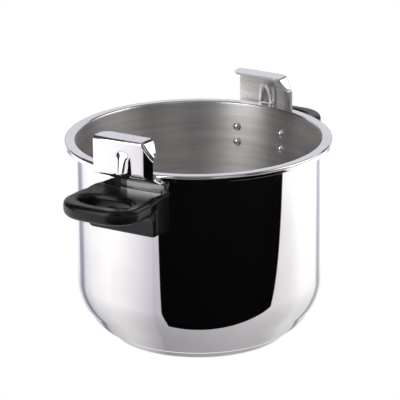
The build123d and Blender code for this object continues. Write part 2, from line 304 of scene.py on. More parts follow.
def bend(centre, radius, start, end, steps):
    """Points along an arc of a turned profile: (radius, height), angles in degrees."""
    for step in range(steps + 1):
        angle = radians(start + (end - start) * step / steps)
        yield centre[0] + radius * cos(angle), centre[1] + radius * sin(angle)


def turned(name, profile, segments=256):
    """A turned piece: a flat disc drawn up ring by ring, closed at both ends."""
    rings = list(profile)
    radius, height = rings[0]
    deselect_all()
    bpy.ops.mesh.primitive_circle_add(
        vertices=segments, radius=radius * MM, fill_type="NGON", location=(0, 0, height * MM)
    )
    piece = settle(bpy.context.object, name)
    edit(piece)
    bpy.ops.mesh.select_all(action="SELECT")
    for next_radius, next_height in rings[1:]:
        extrude((0, 0, next_height - height))
        ratio = next_radius / radius
        resize((ratio, ratio, 1), (0, 0, next_height))
        radius, height = next_radius, next_height
    done()
    outward(piece)
    smooth(piece)
    return piece


def mirrored(piece, name):
    """The same piece on the other side of the vessel, with a mesh of its own."""
    twin = piece.copy()
    twin.data = piece.data.copy()
    bpy.context.scene.collection.objects.link(twin)
    twin.scale.x = -1
    settle(twin, name)
    outward(twin)
    smooth(twin)
    return twin


# ---------------------------------------------------------------- vessel
def floor_bend(inset):
    """Centre of the small bend between the floor and the big curve, and where the curve starts."""
    height = FLOOR + FLOOR_CORNER
    drop = CURVE_TOP - height
    reach = CURVE - FLOOR_CORNER
    centre = (OUTER_RADIUS - CURVE + sqrt(reach**2 - drop**2), height)
    return centre, -atan2(drop, sqrt(reach**2 - drop**2)) * 180 / pi, FLOOR_CORNER - inset


def wall_profile(inset):
    """Floor, small bend, big curve and straight wall, from the middle outwards."""
    corner, curve_start, small = floor_bend(inset)
    yield corner[0] - SUPPORT, FLOOR + inset
    yield from bend(corner, small, -90, curve_start, 8)
    middle = (OUTER_RADIUS - CURVE, CURVE_TOP)
    curve = list(bend(middle, CURVE - inset, curve_start, 0, 22))
    yield from curve[1:]
    yield OUTER_RADIUS - inset, CURVE_TOP + SUPPORT


def vessel_profile():
    """Up the outside, round the rolled rim and down the inside."""
    yield from wall_profile(0)
    under = RIM_TOP - WALL
    inside_throat = THROAT - WALL
    yield OUTER_RADIUS, under - inside_throat - SUPPORT
    yield from bend((OUTER_RADIUS + inside_throat, under - inside_throat), inside_throat, 180, 90, 5)
    inside_edge = RIM_EDGE - WALL
    inner_lip = RIM_RADIUS - WALL
    yield from bend((inner_lip - inside_edge, under - inside_edge), inside_edge, 90, 0, 5)
    yield inner_lip, RIM_TOP - LIP_DROP
    yield inner_lip + LIP_BREAK, RIM_TOP - LIP_DROP
    yield RIM_RADIUS - LIP_BREAK, RIM_TOP - LIP_DROP
    yield RIM_RADIUS, RIM_TOP - LIP_DROP + LIP_BREAK
    yield RIM_RADIUS, RIM_TOP - RIM_EDGE - RIM_SUPPORT
    yield from bend((RIM_RADIUS - RIM_EDGE, RIM_TOP - RIM_EDGE), RIM_EDGE, 0, 90, 8)
    yield RIM_RADIUS - RIM_EDGE - RIM_SUPPORT, RIM_TOP
    yield INNER_RADIUS + THROAT + RIM_SUPPORT, RIM_TOP
    yield from bend((INNER_RADIUS + THROAT, RIM_TOP - THROAT), THROAT, 90, 180, 8)
    yield from reversed(list(wall_profile(WALL)))


def make_vessel():
    """One deep-drawn sheet: mirror-polished outside and on the rim, brushed inside."""
    vessel = turned("drawn_vessel", vessel_profile())
    vessel.data.materials.append(polished_stainless())
    vessel.data.materials.append(brushed_stainless())
    edit(vessel)

    def inside(middle, spots):
        reach = max(hypot(spot.x, spot.y) for spot in spots)
        above_floor = middle.z > FLOOR + WALL / 2
        below_mouth = middle.z < RIM_TOP - THROAT / 2
        return above_floor and below_mouth and reach < skin_radius(middle.z) - WALL / 2

    pick(vessel, "FACE", inside)
    vessel.active_material_index = 1
    bpy.ops.object.material_slot_assign()
    done()
    return finish_piece(vessel, "polished_steel", "pot_shell")


def skin_radius(height):
    """Outside radius of the vessel at a height."""
    if height >= CURVE_TOP:
        return OUTER_RADIUS
    corner, start, small = floor_bend(0)
    turn_height = CURVE_TOP + CURVE * sin(radians(start))
    if height >= turn_height:
        return OUTER_RADIUS - CURVE + sqrt(CURVE**2 - (CURVE_TOP - height) ** 2)
    return corner[0] + sqrt(max(small**2 - (corner[1] - height) ** 2, 0))


def make_base_cup():
    """The steel cup pressed over the base's aluminium disc."""

    def profile():
        low = cap_low.z
        yield CAP_RADIUS - CAP_EDGE - SUPPORT, low
        yield from bend((CAP_RADIUS - CAP_EDGE, low + CAP_EDGE), CAP_EDGE, -90, 0, 6)
        yield CAP_RADIUS, cap_high.z - 0.1
        yield CAP_RADIUS - 0.1, cap_high.z
        yield CAP_RADIUS - CAP_WALL + 0.05, cap_high.z
        inner_edge = CAP_EDGE - CAP_WALL
        middle = (CAP_RADIUS - CAP_EDGE, low + CAP_EDGE)
        yield from bend(middle, inner_edge, 0, -90, 4)
        yield CAP_RADIUS - CAP_EDGE - SUPPORT, low + CAP_WALL

    cup = turned("base_cup", profile())
    cup.data.materials.append(polished_stainless())
    return finish_piece(cup, "polished_steel", "base_cap")


def finish_piece(piece, slot, *nodes):
    """Ride on the object's only body and take the place of CAD nodes; the slot argument is not used."""
    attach(piece, "root")
    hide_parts(*nodes)
    return piece


# ---------------------------------------------------------------- rivets
def make_rivets():
    """Eight solid rivets: dome heads inside the vessel, set tails over the bracket's tongue."""
    grip = WALL + SHEET

    def profile():
        seat = -RIVET_SEAT_GAP
        crown = seat - RIVET_HEAD_HEIGHT
        sphere = (RIVET_HEAD**2 + RIVET_HEAD_HEIGHT**2) / (2 * RIVET_HEAD_HEIGHT)
        centre = (0, crown + sphere)
        edge = atan2(seat - centre[1], RIVET_HEAD) * 180 / pi
        first = -90 + (edge + 90) / 12
        yield from bend(centre, sphere, first, edge, 11)
        yield RIVET_SHANK, seat
        yield RIVET_SHANK, grip
        yield RIVET_TAIL - 0.2, grip
        yield RIVET_TAIL, grip + 0.2
        half = RIVET_TAIL_HEIGHT / 2
        yield from bend((RIVET_TAIL - half, grip + half), half, 0, 90, 5)
        yield RIVET_TAIL / 2, grip + RIVET_TAIL_HEIGHT

    pattern = turned("rivet", profile(), segments=40)
    pattern.data.materials.append(polished_stainless())
    turn = atan2(RIVET_HALF_SPAN, sqrt(INNER_RADIUS**2 - RIVET_HALF_SPAN**2))
    number = 0
    for drop in RIVET_DROPS:
        for angle in (-turn, turn):
            number += 1
            for side, sign in SIDES:
                direction = Vector((sign * cos(angle), sin(angle), 0))
                place = direction * INNER_RADIUS + Vector((0, 0, RIM_TOP - drop))
                rivet = pattern.copy()
                rivet.data = pattern.data.copy()
                bpy.context.scene.collection.objects.link(rivet)
                rivet.location = place * MM
                rivet.rotation_euler = direction.to_track_quat("Z", "Y").to_euler()
                settle(rivet, f"dome_rivet_{number}_{side}")
                finish_piece(rivet, "polished_steel", f"rivet_{number}_{side}")
    bpy.data.objects.remove(pattern)


# ---------------------------------------------------------------- lock brackets
def make_bracket():
    """A pressed sheet with rib, lip, flange, foot and tongue: polished outside, satin inside."""
    top = bracket_high.z
    deselect_all()
    bpy.ops.mesh.primitive_plane_add(size=1, rotation=(0, pi / 2, 0))
    sheet = bpy.context.object
    sheet.scale = ((top - JOGGLE_TOP) * MM, (BRACKET_BACK - BRACKET_FRONT) * MM, 1)
    middle_y = (BRACKET_FRONT + BRACKET_BACK) / 2
    sheet.location = Vector((BRACKET_FACE, middle_y, (top + JOGGLE_TOP) / 2)) * MM
    settle(sheet, "pressed_bracket_right")
    slope_corner(sheet, top)
    fold_lip(sheet, top)
    turn_in_foot(sheet)
    press_face(sheet, top)
    apply(sheet, "SOLIDIFY", thickness=SHEET * MM, offset=-1, use_even_offset=True)
    cut(sheet, lip_outline(top), "INTERSECT", "MANIFOLD")
    apply(sheet, "BEVEL", width=0.3 * MM, segments=2, limit_method="ANGLE", angle_limit=radians(60))
    smooth(sheet, 40)
    apply(sheet, "WEIGHTED_NORMAL", keep_sharp=True, weight=80)
    sheet.data.materials.clear()
    sheet.data.materials.append(polished_stainless())
    sheet.data.materials.append(brushed_stainless())
    for face in sheet.data.polygons:
        inside = face.normal.x < -0.5 and face.center.z > (JOGGLE_TOP + 1) * MM
        face.material_index = 1 if inside else 0
    return sheet


def slope_corner(sheet, top):
    """Cut the plate's sloped corner."""
    edit(sheet)
    bpy.ops.mesh.select_all(action="SELECT")
    bpy.ops.mesh.bisect(
        plane_co=Vector((BRACKET_FACE, FOLD, top)) * MM,
        plane_no=Vector((0, -SLOPE_DROP, SLOPE_RUN)).normalized(), clear_outer=True,
    )
    done()


def ease(share):
    """A smooth step from 0 to 1."""
    share = min(max(share, 0), 1)
    return share * share * (3 - 2 * share)


def rib_depth_at(across, height, top):
    """How far the rib stands out of the plate: it deepens steadily from its round head down."""
    head = top - RIB_HEAD_GAP
    foot = JOGGLE_TOP + RIB_FOOT_RISE
    above_arch = max(height - head + RIB_HALF_WIDTH, 0)
    inside = RIB_HALF_WIDTH - hypot(across - RIB_OFFSET, above_arch)
    deepening = min(max((head - height) / (head - foot), 0), 1)
    return RIB_DEPTH * deepening * ease(inside / RIB_SHOULDER) * ease((height - foot) / RIB_FOOT_BEND)


def press_face(sheet, top):
    """Press the rib, a slight crown and the curled front edge into the flat plate."""
    edit(sheet)
    for start, end, axis in ((BRACKET_FRONT, BRACKET_BACK, 1), (JOGGLE_TOP + 2.0, top, 2)):
        lines = int((end - start) / PRESS_GRID)
        for line in range(1, lines):
            point, normal = [0, 0, 0], [0, 0, 0]
            point[axis] = (start + (end - start) * line / lines) * MM
            normal[axis] = 1
            bpy.ops.mesh.select_all(action="SELECT")
            bpy.ops.mesh.bisect(plane_co=point, plane_no=normal)
    foot_drop = (BRACKET_FACE - OUTER_RADIUS - SHEET) * tan(JOGGLE_ANGLE)
    mesh = bmesh.from_edit_mesh(sheet.data)
    for corner in mesh.verts:
        x, y, z = corner.co / MM
        free = min(max((z - JOGGLE_TOP) / foot_drop + 1, 0), 1)
        shift = -((y - CROWN_MIDDLE) ** 2) / (2 * CROWN_RADIUS)
        inside_slope = ((y - FOLD) * SLOPE_DROP - (z - top) * SLOPE_RUN) / hypot(SLOPE_DROP, SLOPE_RUN)
        inside = min(y - BRACKET_FRONT, inside_slope + SLOPE_CURL)
        shift -= max(CURL_WIDTH - inside, 0) ** 2 / (2 * CURL_RADIUS)
        if x > BRACKET_FACE - 0.5:
            shift += rib_depth_at(y, z, top)
        corner.co.x += shift * free * MM
    bmesh.update_edit_mesh(sheet.data)
    done()


def fold_lip(sheet, top):
    """Fold the top lip and the sloped flange in together, with pressed bends."""

    def on_folds(middle, spots):
        on_top = all(abs(spot.z - top) < 0.01 for spot in spots)
        on_slope = all(
            abs((spot.y - FOLD) * SLOPE_DROP - (spot.z - top) * SLOPE_RUN) < 0.1 for spot in spots
        )
        return on_top or on_slope

    edit(sheet)
    pick(sheet, "EDGE", on_folds)
    extrude((-BRACKET_REACH, 0, 0))
    pick(sheet, "EDGE", lambda middle, spots: on_folds(middle, spots) and (
        middle.x > BRACKET_FACE - 0.01
        or (abs(middle.y - FOLD) < 0.01 and middle.x > BRACKET_FACE - BRACKET_REACH + 0.01)
    ))
    bpy.ops.mesh.bevel(offset=SHEET_BEND * MM, segments=6, affect="EDGES")
    done()


def turn_in_foot(sheet):
    """Turn the plate's foot in to the vessel, and carry it down the wall as a tongue with ears."""
    reach = BRACKET_FACE - OUTER_RADIUS - SHEET
    edit(sheet)
    pick(sheet, "EDGE", lambda middle, spots: all(abs(s.z - JOGGLE_TOP) < 0.01 for s in spots))
    bpy.ops.mesh.subdivide(number_cuts=FOOT_CUTS)
    pick(sheet, "EDGE", lambda middle, spots: all(abs(s.z - JOGGLE_TOP) < 0.01 for s in spots))
    extrude((-reach, 0, -reach * tan(JOGGLE_ANGLE)))
    foot = JOGGLE_TOP - reach * tan(JOGGLE_ANGLE)
    extrude((0, 0, EAR_BOTTOM - foot))
    extrude((0, 0, bracket_low.z - EAR_BOTTOM))
    for side in (-1, 1):
        pick(sheet, "EDGE", lambda middle, spots: (
            EAR_BOTTOM < middle.z < foot and middle.y * side > TONGUE_HALF_WIDTH
            and abs(spots[0].y - spots[1].y) < 0.1
        ))
        extrude((0, side * EAR_WIDTH / 2, 0))
        extrude((0, side * EAR_WIDTH / 2, 0))
    pick(sheet, "VERT", lambda spot, spots: spot.z < JOGGLE_TOP - 1)
    mesh = bmesh.from_edit_mesh(sheet.data)
    for corner in mesh.verts:
        if corner.select:
            corner.co.x = sqrt(((OUTER_RADIUS + SHEET) * MM) ** 2 - corner.co.y**2)
    bmesh.update_edit_mesh(sheet.data)
    pick(sheet, "EDGE", lambda middle, spots: all(abs(s.z - JOGGLE_TOP) < 0.01 for s in spots))
    bpy.ops.mesh.bevel(offset=FOOT_BEND * MM, segments=5, affect="EDGES")
    bpy.ops.mesh.select_all(action="SELECT")
    bpy.ops.mesh.remove_doubles(threshold=0.01 * MM)
    done()


def lip_outline(top):
    """A block whose plan is the bracket's plan, with the lip's two inner corners rounded."""
    low_x = BRACKET_FACE - BRACKET_REACH
    tool = block((low_x, BRACKET_FRONT, JOGGLE_TOP + 8), (BRACKET_FACE + 20, BRACKET_BACK, top + 5))
    edit(tool)
    pick(tool, "EDGE", lambda middle, spots: (
        middle.x < low_x + 0.01 and middle.y < BRACKET_FRONT + 0.01
    ))
    bpy.ops.mesh.bevel(
        offset=LIP_FRONT_CORNER * MM, segments=16, affect="EDGES"
    )
    pick(tool, "EDGE", lambda middle, spots: (
        middle.x < low_x + 0.01 and middle.y > BRACKET_BACK - 0.01
    ))
    bpy.ops.mesh.bevel(offset=LIP_BACK_CORNER * MM, segments=12, affect="EDGES")
    done()
    lower = block((60, -60, bracket_low.z - 5), (BRACKET_FACE + 20, 60, JOGGLE_TOP + 8.5))
    cut(tool, lower, "UNION")
    return tool


def make_brackets():
    """Both lock brackets; the left one mirrors the right."""
    right = make_bracket()
    left = mirrored(right, "pressed_bracket_left")
    apply(left, "WEIGHTED_NORMAL", keep_sharp=True, weight=80)
    for piece, (side, _) in zip((right, left), SIDES):
        finish_piece(piece, "polished_steel", f"lock_bracket_{side}")


# ---------------------------------------------------------------- handles
def make_handle():
    """A black moulding: a hollow block on the wall with a finger loop in front."""
    top, low = handle_high.z, handle_low.z
    tip = handle_high.x
    loop_low = top - LOOP_THICKNESS
    body = block((OUTER_RADIUS - 12, -HANDLE_HALF_WIDTH, low), (HANDLE_FACE, HANDLE_HALF_WIDTH, top))
    edit(body)
    pick(body, "EDGE", lambda middle, spots: (
        middle.z < low + 0.01 and abs(middle.y) > HANDLE_HALF_WIDTH - 5
    ))
    bpy.ops.mesh.bevel(offset=BLOCK_CORNER * MM, segments=6, affect="EDGES")
    done()
    apply(body, "BEVEL", width=BLOCK_EDGE * MM, segments=4, limit_method="ANGLE", angle_limit=radians(50))

    half = handle_high.y
    loop = block((OUTER_RADIUS + 2, -half, loop_low), (tip, half, top))
    edit(loop)
    for reach in (HANDLE_FACE - 2, HANDLE_FACE + LOOP_NECK):
        bpy.ops.mesh.select_all(action="SELECT")
        bpy.ops.mesh.bisect(plane_co=(reach * MM, 0, 0), plane_no=(1, 0, 0))
    pick(loop, "VERT", lambda spot, spots: spot.x < HANDLE_FACE)
    resize((1, HANDLE_HALF_WIDTH / half, 1), (HANDLE_FACE, 0, 0))
    pick(loop, "EDGE", lambda middle, spots: (
        middle.x > tip - 0.01 and abs(spots[0].z - spots[1].z) > 5
    ))
    bpy.ops.mesh.bevel(offset=LOOP_CORNER * MM, segments=12, affect="EDGES")
    pick(loop, "EDGE", lambda middle, spots: middle.x > tip - 0.01 and abs(middle.y) < 1)
    bpy.ops.mesh.subdivide(number_cuts=5)
    bow_end(loop, tip, half)
    done()
    hole = rod(
        HOLE_WIDTH / 2, (HOLE_CENTRE, 0, loop_low - 5), (HOLE_CENTRE, 0, top + 5), 96,
        squash=(1, HOLE_LENGTH / HOLE_WIDTH),
    )
    cut(loop, hole)
    apply(loop, "BEVEL", width=LOOP_EDGE * MM, segments=5, limit_method="ANGLE", angle_limit=radians(50))
    for part in (body, loop):
        cut(part, shoulder(top))
    fuse(body, loop, gusset(loop_low))
    hollow = block(
        (OUTER_RADIUS - 20, HANDLE_WALL - HANDLE_HALF_WIDTH, low + HANDLE_WALL),
        (HANDLE_FACE - HANDLE_WALL, HANDLE_HALF_WIDTH - HANDLE_WALL, top - HANDLE_WALL),
    )
    boss = rod(BOSS_RADIUS, (HANDLE_FACE - BOSS_LENGTH, 0, SCREW_HEIGHT), (HANDLE_FACE, 0, SCREW_HEIGHT))
    cut(hollow, boss)
    cut(body, hollow)
    cut(body, rod(
        COUNTERBORE, (HANDLE_FACE - COUNTERBORE_DEPTH, 0, SCREW_HEIGHT),
        (HANDLE_FACE + 20, 0, SCREW_HEIGHT),
    ))
    cut(body, rod(
        SCREW_RADIUS + SCREW_CLEARANCE, (HANDLE_FACE - 30, 0, SCREW_HEIGHT),
        (HANDLE_FACE, 0, SCREW_HEIGHT), 32,
    ))
    cut(body, rod(OUTER_RADIUS + WALL_GAP, (0, 0, low - 5), (0, 0, top + 5), 256))
    slot = rod(
        OUTER_RADIUS + SHEET + TONGUE_CLEARANCE, (0, 0, top - HANDLE_WALL - 5), (0, 0, top + 5), 256,
    )
    half_slot = TONGUE_HALF_WIDTH + TONGUE_CLEARANCE
    cut(slot, block((60, -half_slot, 0), (150, half_slot, 400)), "INTERSECT")
    cut(body, slot)
    return body


def bow_end(loop, tip, half):
    """Let the loop's end bow out between its corners."""
    mesh = bmesh.from_edit_mesh(loop.data)
    start = (tip - LOOP_CORNER) * MM
    for corner in mesh.verts:
        if corner.co.x > start:
            share = (corner.co.x - start) / (LOOP_CORNER * MM)
            corner.co.x -= LOOP_BOW * MM * share * (corner.co.y / (half * MM)) ** 2
    bmesh.update_edit_mesh(loop.data)


def gusset(loop_low):
    """The wedge that carries the loop's underside into the block's face."""
    width = HANDLE_HALF_WIDTH - GUSSET_INSET
    wedge = block(
        (HANDLE_FACE - GUSSET_OVERLAP, -width, loop_low - GUSSET),
        (HANDLE_FACE + GUSSET, width, loop_low + GUSSET_OVERLAP),
    )
    centre = (HANDLE_FACE + GUSSET + GUSSET_LAND, loop_low - GUSSET - GUSSET_LAND)
    cut(wedge, rod(GUSSET, (centre[0], -60, centre[1]), (centre[0], 60, centre[1])))
    return wedge


def shoulder(top):
    """The cutter that slopes the block's top down to the vessel behind its ridge."""
    wedge = block((OUTER_RADIUS - 30, -60, top - SHOULDER_DROP), (RIDGE, 60, top + 10))
    edit(wedge)
    pick(wedge, "EDGE", lambda middle, spots: (
        middle.x > RIDGE - 0.01 and middle.z < top - SHOULDER_DROP + 0.01
        and abs(spots[0].y - spots[1].y) > 10
    ))
    bpy.ops.transform.translate(value=(0, 0, SHOULDER_DROP * MM))
    done()
    return wedge


def fuse(piece, *others):
    """Melt overlapping shapes into one skin with the soft inside corners of a moulding."""
    deselect_all()
    for part in (piece, *others):
        part.select_set(True)
    bpy.context.view_layer.objects.active = piece
    bpy.ops.object.join()
    apply(piece, "REMESH", mode="VOXEL", voxel_size=MOULD_GRID * MM)
    apply(piece, "SMOOTH", factor=0.5, iterations=6)


def make_handles():
    """Both handles, with the soft edges of a moulding; the left one mirrors the right."""
    right = make_handle()
    settle(right, "moulded_handle_right")
    outward(right)
    right.data.materials.append(black_phenolic())
    smooth(right, 45)
    left = mirrored(right, "moulded_handle_left")
    smooth(left, 45)
    for piece, (side, _) in zip((right, left), SIDES):
        finish_piece(piece, "phenolic_handle", f"handle_{side}")


# ---------------------------------------------------------------- screws and hidden pieces
def make_screws():
    """Slotted pan-head screws, seen at the bottom of the counterbores."""
    seat = HANDLE_FACE - COUNTERBORE_DEPTH + WASHERS
    end = box_mm("handle_screw_right")[0].x

    def profile():
        yield SCREW_RADIUS - 0.4, end
        yield SCREW_RADIUS, end + 0.4
        yield SCREW_RADIUS, seat
        yield SCREW_HEAD - 0.2, seat
        yield SCREW_HEAD, seat + 0.2
        dome = SCREW_HEAD_HEIGHT / 3
        yield from bend((SCREW_HEAD - dome, seat + SCREW_HEAD_HEIGHT - dome), dome, 0, 90, 6)
        yield SCREW_HEAD / 3, seat + SCREW_HEAD_HEIGHT

    screw = turned("slotted_screw_right", profile(), segments=64)
    screw.rotation_euler = (0, pi / 2, 0)
    screw.location = (0, 0, SCREW_HEIGHT * MM)
    settle(screw, "slotted_screw_right")
    crown = seat + SCREW_HEAD_HEIGHT
    slot = block(
        (crown - SLOT_DEPTH, -10, SCREW_HEIGHT - SLOT_WIDTH / 2),
        (crown + 5, 10, SCREW_HEIGHT + SLOT_WIDTH / 2),
    )
    cut(screw, slot)
    outward(screw)
    smooth(screw)
    screw.data.materials.append(zinc_plate())
    left = mirrored(screw, "slotted_screw_left")
    for piece, (side, _) in zip((screw, left), SIDES):
        finish_piece(piece, "plated_steel", f"handle_screw_{side}")


def dress_cad_nodes():
    """Give the pieces that keep their CAD shape their real finish."""
    finishes = {"core_disc": spun_aluminium()}
    for side, _ in SIDES:
        for name in ("flat_washer", "spring_washer", "weld_nut"):
            finishes[f"{name}_{side}"] = zinc_plate()
    for node, material in finishes.items():
        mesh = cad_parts[node].data
        mesh.materials.clear()
        mesh.materials.append(material)


# ---------------------------------------------------------------- materials
def linear(code):
    """An sRGB hex colour as linear RGBA."""
    channels = [int(code[i:i + 2], 16) / 255 for i in (1, 3, 5)]
    return tuple(c / 12.92 if c <= 0.04045 else ((c + 0.055) / 1.055) ** 2.4 for c in channels) + (1,)


def node(tree, kind, settings=None, links=None):
    """Add a shader node, set it and link its inputs."""
    made = tree.nodes.new(kind)
    for key, value in (settings or {}).items():
        if key in made.inputs and not hasattr(made, str(key)):
            made.inputs[key].default_value = value
        else:
            setattr(made, key, value)
    for key, source in (links or {}).items():
        tree.links.new(source, made.inputs[key])
    return made


def new_material(name):
    """A material with its default nodes: its output and one Principled shader."""
    material = bpy.data.materials.get(name)
    if material:
        return material, None, None
    material = bpy.data.materials.new(name)
    material.use_nodes = True
    tree = material.node_tree
    shader = tree.nodes["Principled BSDF"]
    return material, tree, shader


def ramp(tree, source, stops):
    """A colour ramp through (position, hex) stops."""
    made = node(tree, "ShaderNodeValToRGB", links={"Fac": source})
    points = made.color_ramp.elements
    while len(points) < len(stops):
        points.new(0.5)
    for point, (position, code) in zip(points, stops):
        point.position = position
        point.color = linear(code)
    return made.outputs["Color"]


def wall_coordinates(tree, around, up):
    """Coordinates that run round the vessel's axis: turns, radius and height, each scaled."""
    place = node(tree, "ShaderNodeTexCoord").outputs["Object"]
    split = node(tree, "ShaderNodeSeparateXYZ", links={0: place})
    angle = node(tree, "ShaderNodeMath", {"operation": "ARCTAN2"},
                 {0: split.outputs["Y"], 1: split.outputs["X"]})
    flat = node(tree, "ShaderNodeVectorMath", {"operation": "MULTIPLY"}, {0: place})
    flat.inputs[1].default_value = (1, 1, 0)
    reach = node(tree, "ShaderNodeVectorMath", {"operation": "LENGTH"}, {0: flat.outputs[0]})
    turns = node(tree, "ShaderNodeMath", {"operation": "MULTIPLY"}, {0: angle.outputs[0]})
    turns.inputs[1].default_value = around
    rise = node(tree, "ShaderNodeMath", {"operation": "MULTIPLY"}, {0: split.outputs["Z"]})
    rise.inputs[1].default_value = up
    spread = node(tree, "ShaderNodeMath", {"operation": "MULTIPLY"}, {0: reach.outputs["Value"]})
    spread.inputs[1].default_value = up
    return node(tree, "ShaderNodeCombineXYZ", links={
        "X": turns.outputs[0], "Y": spread.outputs[0], "Z": rise.outputs[0],
    }).outputs[0]


def polished_stainless():
    """18/10 stainless, mirror-buffed: a clean bright reflection with a trace of buffing haze."""
    material, tree, shader = new_material("mirror_polished_stainless")
    if tree is None:
        return material
    around = wall_coordinates(tree, 3.0, 1 / (1.5 * MM))
    haze = node(tree, "ShaderNodeTexNoise", {"Scale": 1.0, "Detail": 4.0}, {"Vector": around})
    place = node(tree, "ShaderNodeTexCoord").outputs["Object"]
    patches = node(tree, "ShaderNodeTexNoise", {"Scale": 1 / (40 * MM), "Detail": 2.0},
                   {"Vector": place})
    tint = ramp(tree, patches.outputs["Fac"], ((0.3, "#ECEAEC"), (0.7, "#F4F2F3")))
    tree.links.new(tint, shader.inputs["Base Color"])
    gloss = node(tree, "ShaderNodeMapRange", {"To Min": 0.02, "To Max": 0.06},
                 {"Value": haze.outputs["Fac"]})
    tree.links.new(gloss.outputs[0], shader.inputs["Roughness"])
    ripple = node(tree, "ShaderNodeBump", {"Strength": 0.02, "Distance": 0.02 * MM},
                  {"Height": patches.outputs["Fac"]})
    tree.links.new(ripple.outputs[0], shader.inputs["Normal"])
    shader.inputs["Metallic"].default_value = 1
    return material


def brushed_stainless():
    """18/10 stainless, belt-brushed round the inside: satin, with fine level lines."""
    material, tree, shader = new_material("satin_brushed_stainless")
    if tree is None:
        return material
    # real brush lines are about 0.1 mm apart; drawn 0.9 mm apart so that they show
    lines = wall_coordinates(tree, 2.5, 1 / (0.9 * MM))
    grain = node(tree, "ShaderNodeTexNoise", {"Scale": 1.0, "Detail": 3.0, "Roughness": 0.6},
                 {"Vector": lines})
    wide = wall_coordinates(tree, 1.2, 1 / (6 * MM))
    streaks = node(tree, "ShaderNodeTexNoise", {"Scale": 1.0, "Detail": 2.0}, {"Vector": wide})
    mixed = node(tree, "ShaderNodeMath", {"operation": "ADD"},
                 {0: grain.outputs["Fac"], 1: streaks.outputs["Fac"]})
    spread = node(tree, "ShaderNodeMapRange", {"From Min": 0.6, "From Max": 1.4},
                  {"Value": mixed.outputs[0]})
    tint = ramp(tree, spread.outputs[0], ((0.2, "#DAD8D6"), (0.8, "#EFEDEB")))
    tree.links.new(tint, shader.inputs["Base Color"])
    gloss = node(tree, "ShaderNodeMapRange", {"To Min": 0.36, "To Max": 0.46},
                 {"Value": grain.outputs["Fac"]})
    tree.links.new(gloss.outputs[0], shader.inputs["Roughness"])
    scratch = node(tree, "ShaderNodeBump", {"Strength": 0.25, "Distance": 0.02 * MM},
                   {"Height": grain.outputs["Fac"]})
    tree.links.new(scratch.outputs[0], shader.inputs["Normal"])
    tangent = node(tree, "ShaderNodeTangent", {"direction_type": "RADIAL", "axis": "Z"})
    tree.links.new(tangent.outputs[0], shader.inputs["Tangent"])
    shader.inputs["Metallic"].default_value = 1
    shader.inputs["Anisotropic"].default_value = 0.8
    shader.inputs["Anisotropic Rotation"].default_value = 0.25
    return material


def black_phenolic():
    """Compression-moulded phenolic: near-black, with a soft satin sheen and a fine skin."""
    material, tree, shader = new_material("moulded_black_phenolic")
    if tree is None:
        return material
    place = node(tree, "ShaderNodeTexCoord").outputs["Object"]
    cloud = node(tree, "ShaderNodeTexNoise", {"Scale": 1 / (12 * MM), "Detail": 3.0}, {"Vector": place})
    grit = node(tree, "ShaderNodeTexNoise", {"Scale": 1 / (0.7 * MM), "Detail": 2.0}, {"Vector": place})
    tint = ramp(tree, cloud.outputs["Fac"], ((0.3, "#070708"), (0.7, "#0E0E10")))
    tree.links.new(tint, shader.inputs["Base Color"])
    gloss = node(tree, "ShaderNodeMapRange", {"To Min": 0.24, "To Max": 0.34},
                 {"Value": cloud.outputs["Fac"]})
    tree.links.new(gloss.outputs[0], shader.inputs["Roughness"])
    skin = node(tree, "ShaderNodeBump", {"Strength": 0.12, "Distance": 0.03 * MM},
                {"Height": grit.outputs["Fac"]})
    tree.links.new(skin.outputs[0], shader.inputs["Normal"])
    shader.inputs["IOR"].default_value = 1.5
    shader.inputs["Specular IOR Level"].default_value = 0.42
    return material


def zinc_plate():
    """Bright zinc-plated steel: bluish silver with a faintly cloudy gloss."""
    material, tree, shader = new_material("bright_zinc_plated_steel")
    if tree is None:
        return material
    place = node(tree, "ShaderNodeTexCoord").outputs["Object"]
    cloud = node(tree, "ShaderNodeTexNoise", {"Scale": 1 / (2 * MM), "Detail": 3.0}, {"Vector": place})
    tint = ramp(tree, cloud.outputs["Fac"], ((0.3, "#A9AEB6"), (0.7, "#C9CCD2")))
    tree.links.new(tint, shader.inputs["Base Color"])
    gloss = node(tree, "ShaderNodeMapRange", {"To Min": 0.2, "To Max": 0.35},
                 {"Value": cloud.outputs["Fac"]})
    tree.links.new(gloss.outputs[0], shader.inputs["Roughness"])
    shader.inputs["Metallic"].default_value = 1
    return material


def spun_aluminium():
    """Bare 1050 aluminium disc: soft grey, with the circular marks of its blanking."""
    material, tree, shader = new_material("bare_spun_aluminium")
    if tree is None:
        return material
    around = wall_coordinates(tree, 1.0, 1 / (0.8 * MM))
    marks = node(tree, "ShaderNodeTexNoise", {"Scale": 1.0, "Detail": 2.0}, {"Vector": around})
    tint = ramp(tree, marks.outputs["Fac"], ((0.3, "#B4B5B7"), (0.7, "#D0D1D2")))
    tree.links.new(tint, shader.inputs["Base Color"])
    shader.inputs["Roughness"].default_value = 0.45
    shader.inputs["Metallic"].default_value = 1
    return material


# ---------------------------------------------------------------- stage, in metres
FLOOR_REACH = 0.9
# the floor's shade at each angle, in degrees, from the camera's direction
FLOOR_GREYS = (
    (-90, "#F6F5FB"), (-79, "#ECEBF4"), (-75, "#8E8E9A"), (-71.5, "#9C9CA8"), (-68, "#DEDDE4"),
    (-60, "#F2F0F2"), (-48, "#FCFCFC"), (-40, "#F4F2F3"), (-31, "#DEDCE1"), (-24, "#C8C5CC"),
    (-22, "#BBB8C0"), (38, "#DCD8DA"), (46, "#E8E6E7"), (54, "#FFFFFF"), (69, "#FFFFFF"),
    (72, "#B4B3BC"), (75.5, "#B4B3BC"), (79, "#FFFFFF"),
)
# corners of the black card on the floor: metres in front of the vessel, metres to the right
BLACK_CARD = ((0.139, -0.050), (0.139, 0.62), (1.1, 0.62), (1.1, -0.853))
